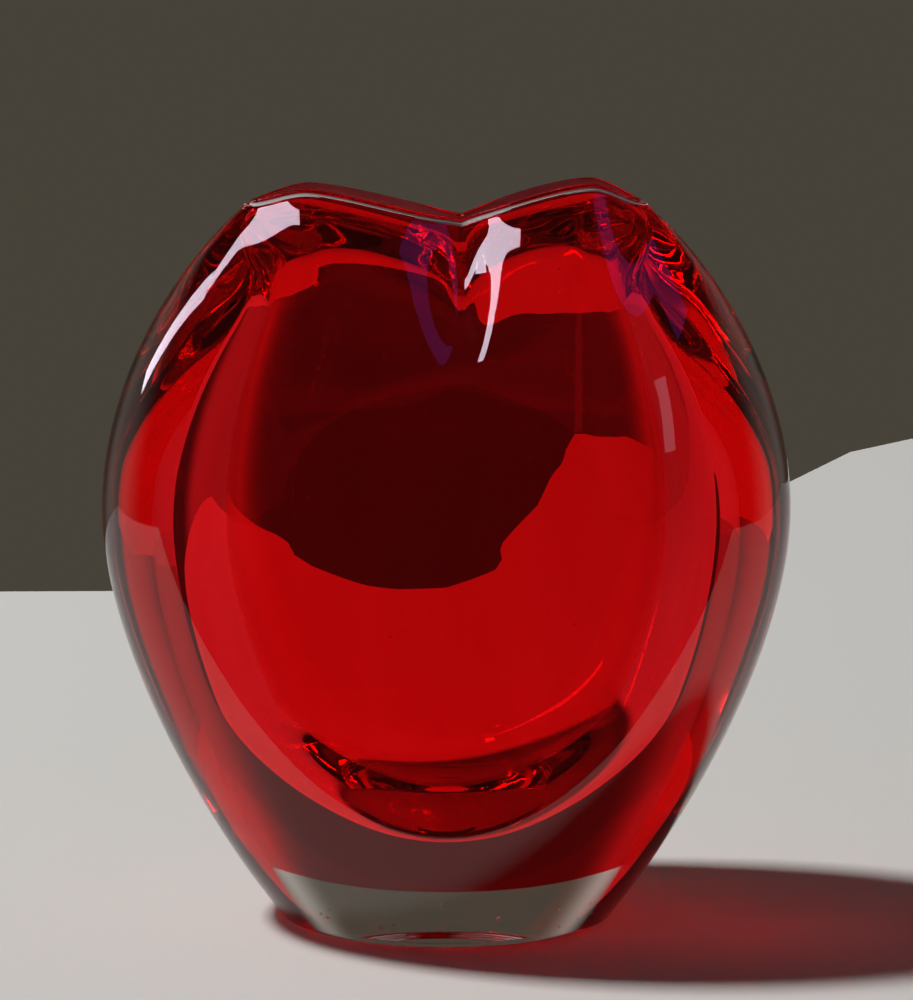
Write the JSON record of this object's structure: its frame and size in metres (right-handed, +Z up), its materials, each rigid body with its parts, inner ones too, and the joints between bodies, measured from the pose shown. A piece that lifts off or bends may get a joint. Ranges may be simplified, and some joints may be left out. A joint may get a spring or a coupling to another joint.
{
  "type": "hand blown glass vase",
  "caption": "Flattened oval glass vase with a pinched, heart shaped mouth: a ruby inner layer fused inside a thick clear casing that makes the foot.",
  "frame": {"origin": "centre of the foot's ground face, on the surface that the vase stands on", "axes": "+Z up to the mouth, +X along the wide side with the taller lobe, -Y to the front"},
  "size_m": [0.136, 0.084, 0.1479],
  "materials": {
    "clear_glass": "fire polished",
    "ruby_glass": "fire polished"
  },
  "bodies": {
    "root": {"clear_casing": "clear_glass", "ruby_layer": "ruby_glass"}
  },
  "joints": []
}
